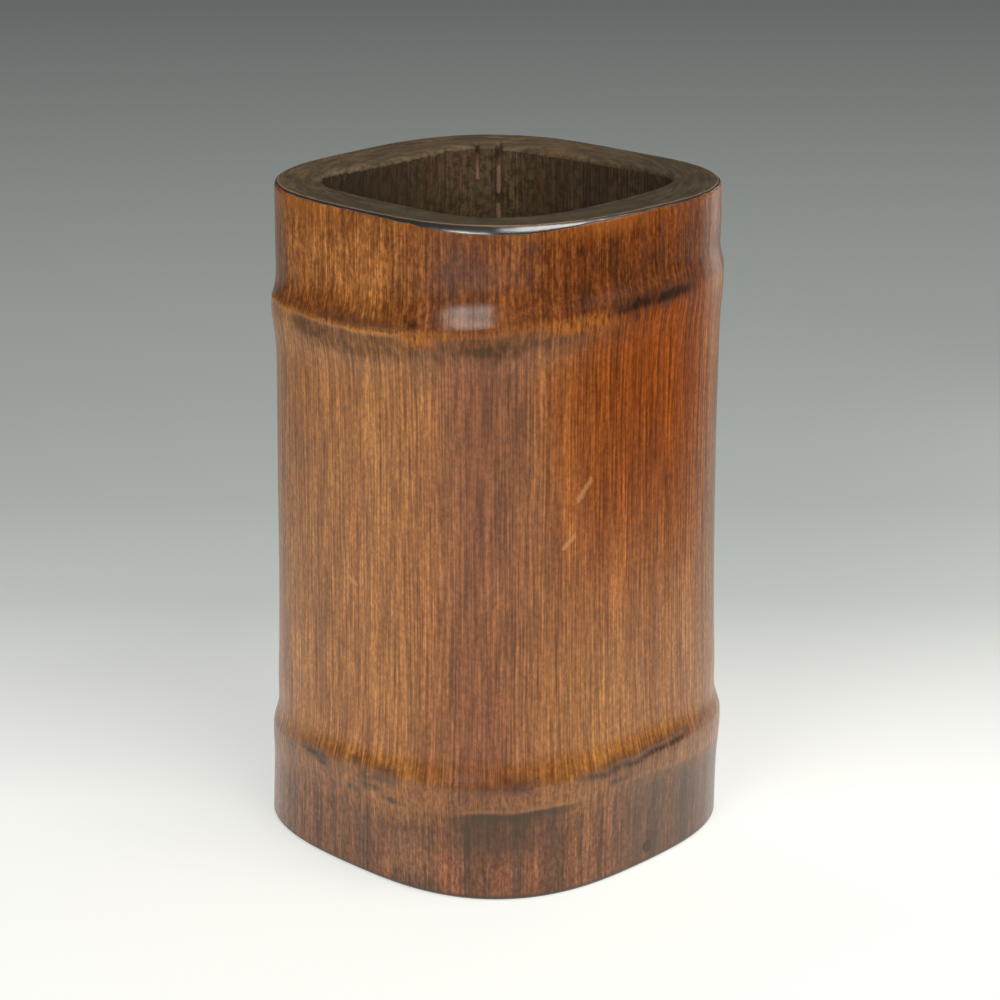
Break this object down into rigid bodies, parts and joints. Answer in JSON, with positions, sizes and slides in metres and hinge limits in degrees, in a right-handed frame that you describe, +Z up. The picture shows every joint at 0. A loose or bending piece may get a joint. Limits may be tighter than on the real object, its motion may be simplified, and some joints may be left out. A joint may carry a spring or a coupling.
{
  "type": "brush pot",
  "caption": "Squared bamboo brush pot with two nodes, a dark lacquered rim and a pegged floor board, for holding brushes upright.",
  "frame": {"origin": "middle of the pot's outline, on the surface that it stands on", "axes": "+Z up along the stem, flat sides facing +X, -X, +Y and -Y"},
  "size_m": [0.1006, 0.098, 0.155],
  "materials": {
    "bamboo": "old polished golden-brown bamboo skin, glossy with handling",
    "lacquer": "dark brown-black natural lacquer, glossy, worn on the edges",
    "floor_wood": "plain close-grained board, stained dark, satin",
    "peg_bamboo": "darkened bamboo end grain, satin"
  },
  "bodies": {
    "root": {"culm_wall": "bamboo", "rim_lacquer": "lacquer", "floor_board": "floor_wood", "floor_peg_1": "peg_bamboo", "floor_peg_2": "peg_bamboo", "floor_peg_3": "peg_bamboo", "floor_peg_4": "peg_bamboo"}
  },
  "joints": []
}
